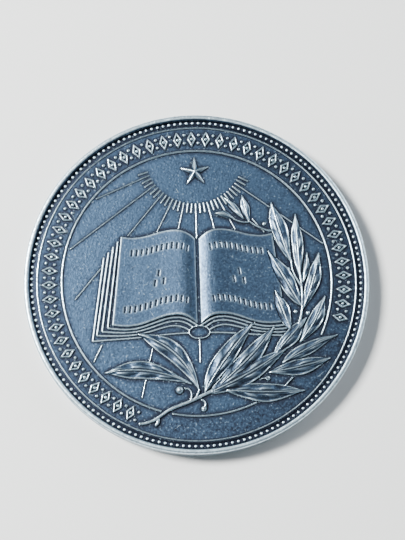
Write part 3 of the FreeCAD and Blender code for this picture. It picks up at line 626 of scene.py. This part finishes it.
def paint(piece, material):
    piece.data.materials.clear()
    piece.data.materials.append(material)


# ---------------------------------------------------------------- stage, light and camera

FLOOR_HALF = 1.2
FLOOR_COLOUR = (0.70, 0.68, 0.65, 1)
FLOOR_ROUGHNESS = 0.7
SKY_COLOUR = (0.76, 0.88, 1.0, 1)
# The sky dims from the horizon up to where a direction's upward part is SKY_TOP.
SKY_TOP, SKY_BRIGHTEST, SKY_DIMMEST = 0.65, 1.0, 0.16

# The camera's place and the point it looks at, in mm from the middle of the field; its roll in
# degrees and its lens in mm.
CAMERA_PLACE = Vector((-5.06, -31.71, 159.7))
CAMERA_TARGET = Vector((0.68, 1.29, 0.0))
CAMERA_ROLL = 1.74
CAMERA_LENS = 93.6


def make_stage():
    """A plain pale floor that the medal lies on."""
    size = FLOOR_HALF
    mesh = bpy.data.meshes.new("floor")
    mesh.from_pydata([(-size, -size, 0), (size, -size, 0), (size, size, 0), (-size, size, 0)],
                     [], [(0, 1, 2, 3)])
    floor = new_object("floor", mesh)
    material = bpy.data.materials.new("pale_floor")
    material.use_nodes = True
    shader = material.node_tree.nodes["Principled BSDF"]
    shader.inputs["Base Color"].default_value = FLOOR_COLOUR
    shader.inputs["Roughness"].default_value = FLOOR_ROUGHNESS
    mesh.materials.append(material)


def add_area(name, place, power, size, colour):
    """A soft square light aimed at the medal."""
    light = bpy.data.lights.new(name, "AREA")
    light.energy = power
    light.size = size
    light.color = colour
    lamp = bpy.data.objects.new(name, light)
    lamp.location = place
    lamp.rotation_euler = (-Vector(place)).to_track_quat("-Z", "Y").to_euler()
    bpy.context.scene.collection.objects.link(lamp)


def make_lights():
    """A window, a fill from the other side, and a pale blue sky."""
    add_area("window", place=(-0.235, 0.085, 0.33), power=6.9, size=0.1, colour=(0.95, 0.99, 1.0))
    add_area("fill", place=(0.38, 0.22, 0.28), power=1.5, size=0.35, colour=(0.80, 0.90, 1.0))
    world = bpy.data.worlds.new("studio")
    world.use_nodes = True
    tree = world.node_tree
    background = tree.nodes["Background"]
    background.inputs["Color"].default_value = SKY_COLOUR
    direction = tree.nodes.new("ShaderNodeTexCoord")
    split = tree.nodes.new("ShaderNodeSeparateXYZ")
    tree.links.new(direction.outputs["Generated"], split.inputs[0])
    glow = tree.nodes.new("ShaderNodeMapRange")
    tree.links.new(split.outputs["Z"], glow.inputs["Value"])
    for key, number in (("From Min", 0.0), ("From Max", SKY_TOP), ("To Min", SKY_BRIGHTEST),
                        ("To Max", SKY_DIMMEST)):
        glow.inputs[key].default_value = number
    tree.links.new(glow.outputs["Result"], background.inputs["Strength"])
    bpy.context.scene.world = world


def make_camera():
    """A camera above the medal, tilted a little towards its lower edge."""
    lift = Vector((0, 0, FIELD))
    data = bpy.data.cameras.new("camera")
    data.lens = CAMERA_LENS
    data.clip_start, data.clip_end = 0.01, 20
    camera = bpy.data.objects.new("camera", data)
    bpy.context.scene.collection.objects.link(camera)
    back = (CAMERA_PLACE - CAMERA_TARGET).normalized()
    roll = math.radians(CAMERA_ROLL)
    up = Vector((math.sin(roll), math.cos(roll), 0))
    right = up.cross(back).normalized()
    turn = Matrix((right, back.cross(right), back)).transposed()
    camera.matrix_world = Matrix.Translation((CAMERA_PLACE + lift) * MM) @ turn.to_4x4()
    bpy.context.scene.camera = camera


# ---------------------------------------------------------------- assembly


def main():
    make_camera()
    make_stage()
    make_lights()
    axis, layers, groups = relief()
    relief_silver = make_silver("relief_silver", wear=1.1, grain=0.4, lightness=0.03, polish=0.2)
    book_silver = make_silver("book_silver", wear=0.9, grain=0.8, reach=0.3)
    skins = (("book", book_silver), ("laurel", relief_silver), ("star_and_sun", relief_silver),
             ("ornament_relief", relief_silver))
    for group, (members, (name, material)) in enumerate(zip(GROUPS, skins)):
        piece = make_skin(name, axis, layers, groups == group)
        paint(piece, material)
        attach(piece, "root")
        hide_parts(*members)
    blank = make_blank()
    # On the blank, patina and painted shade reach furthest from the relief and the rim.
    paint(blank, make_silver("blank_silver", wear=0.95, reach=0.6, shade=1.1, closest=0.85))
    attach(blank, "root")
    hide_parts("medal_disc")
    bead_silver = make_silver("bead_silver", wear=1.3, grain=0.3, marks=False, reach=0.2,
                              shade=0.3, polish=0.06)
    for name in BEAD_NODES:
        paint(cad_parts[name], bead_silver)
    paint(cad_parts["reverse_wreath"],
          make_silver("wreath_silver", wear=0.6, marks=False, reach=0.3))


main()
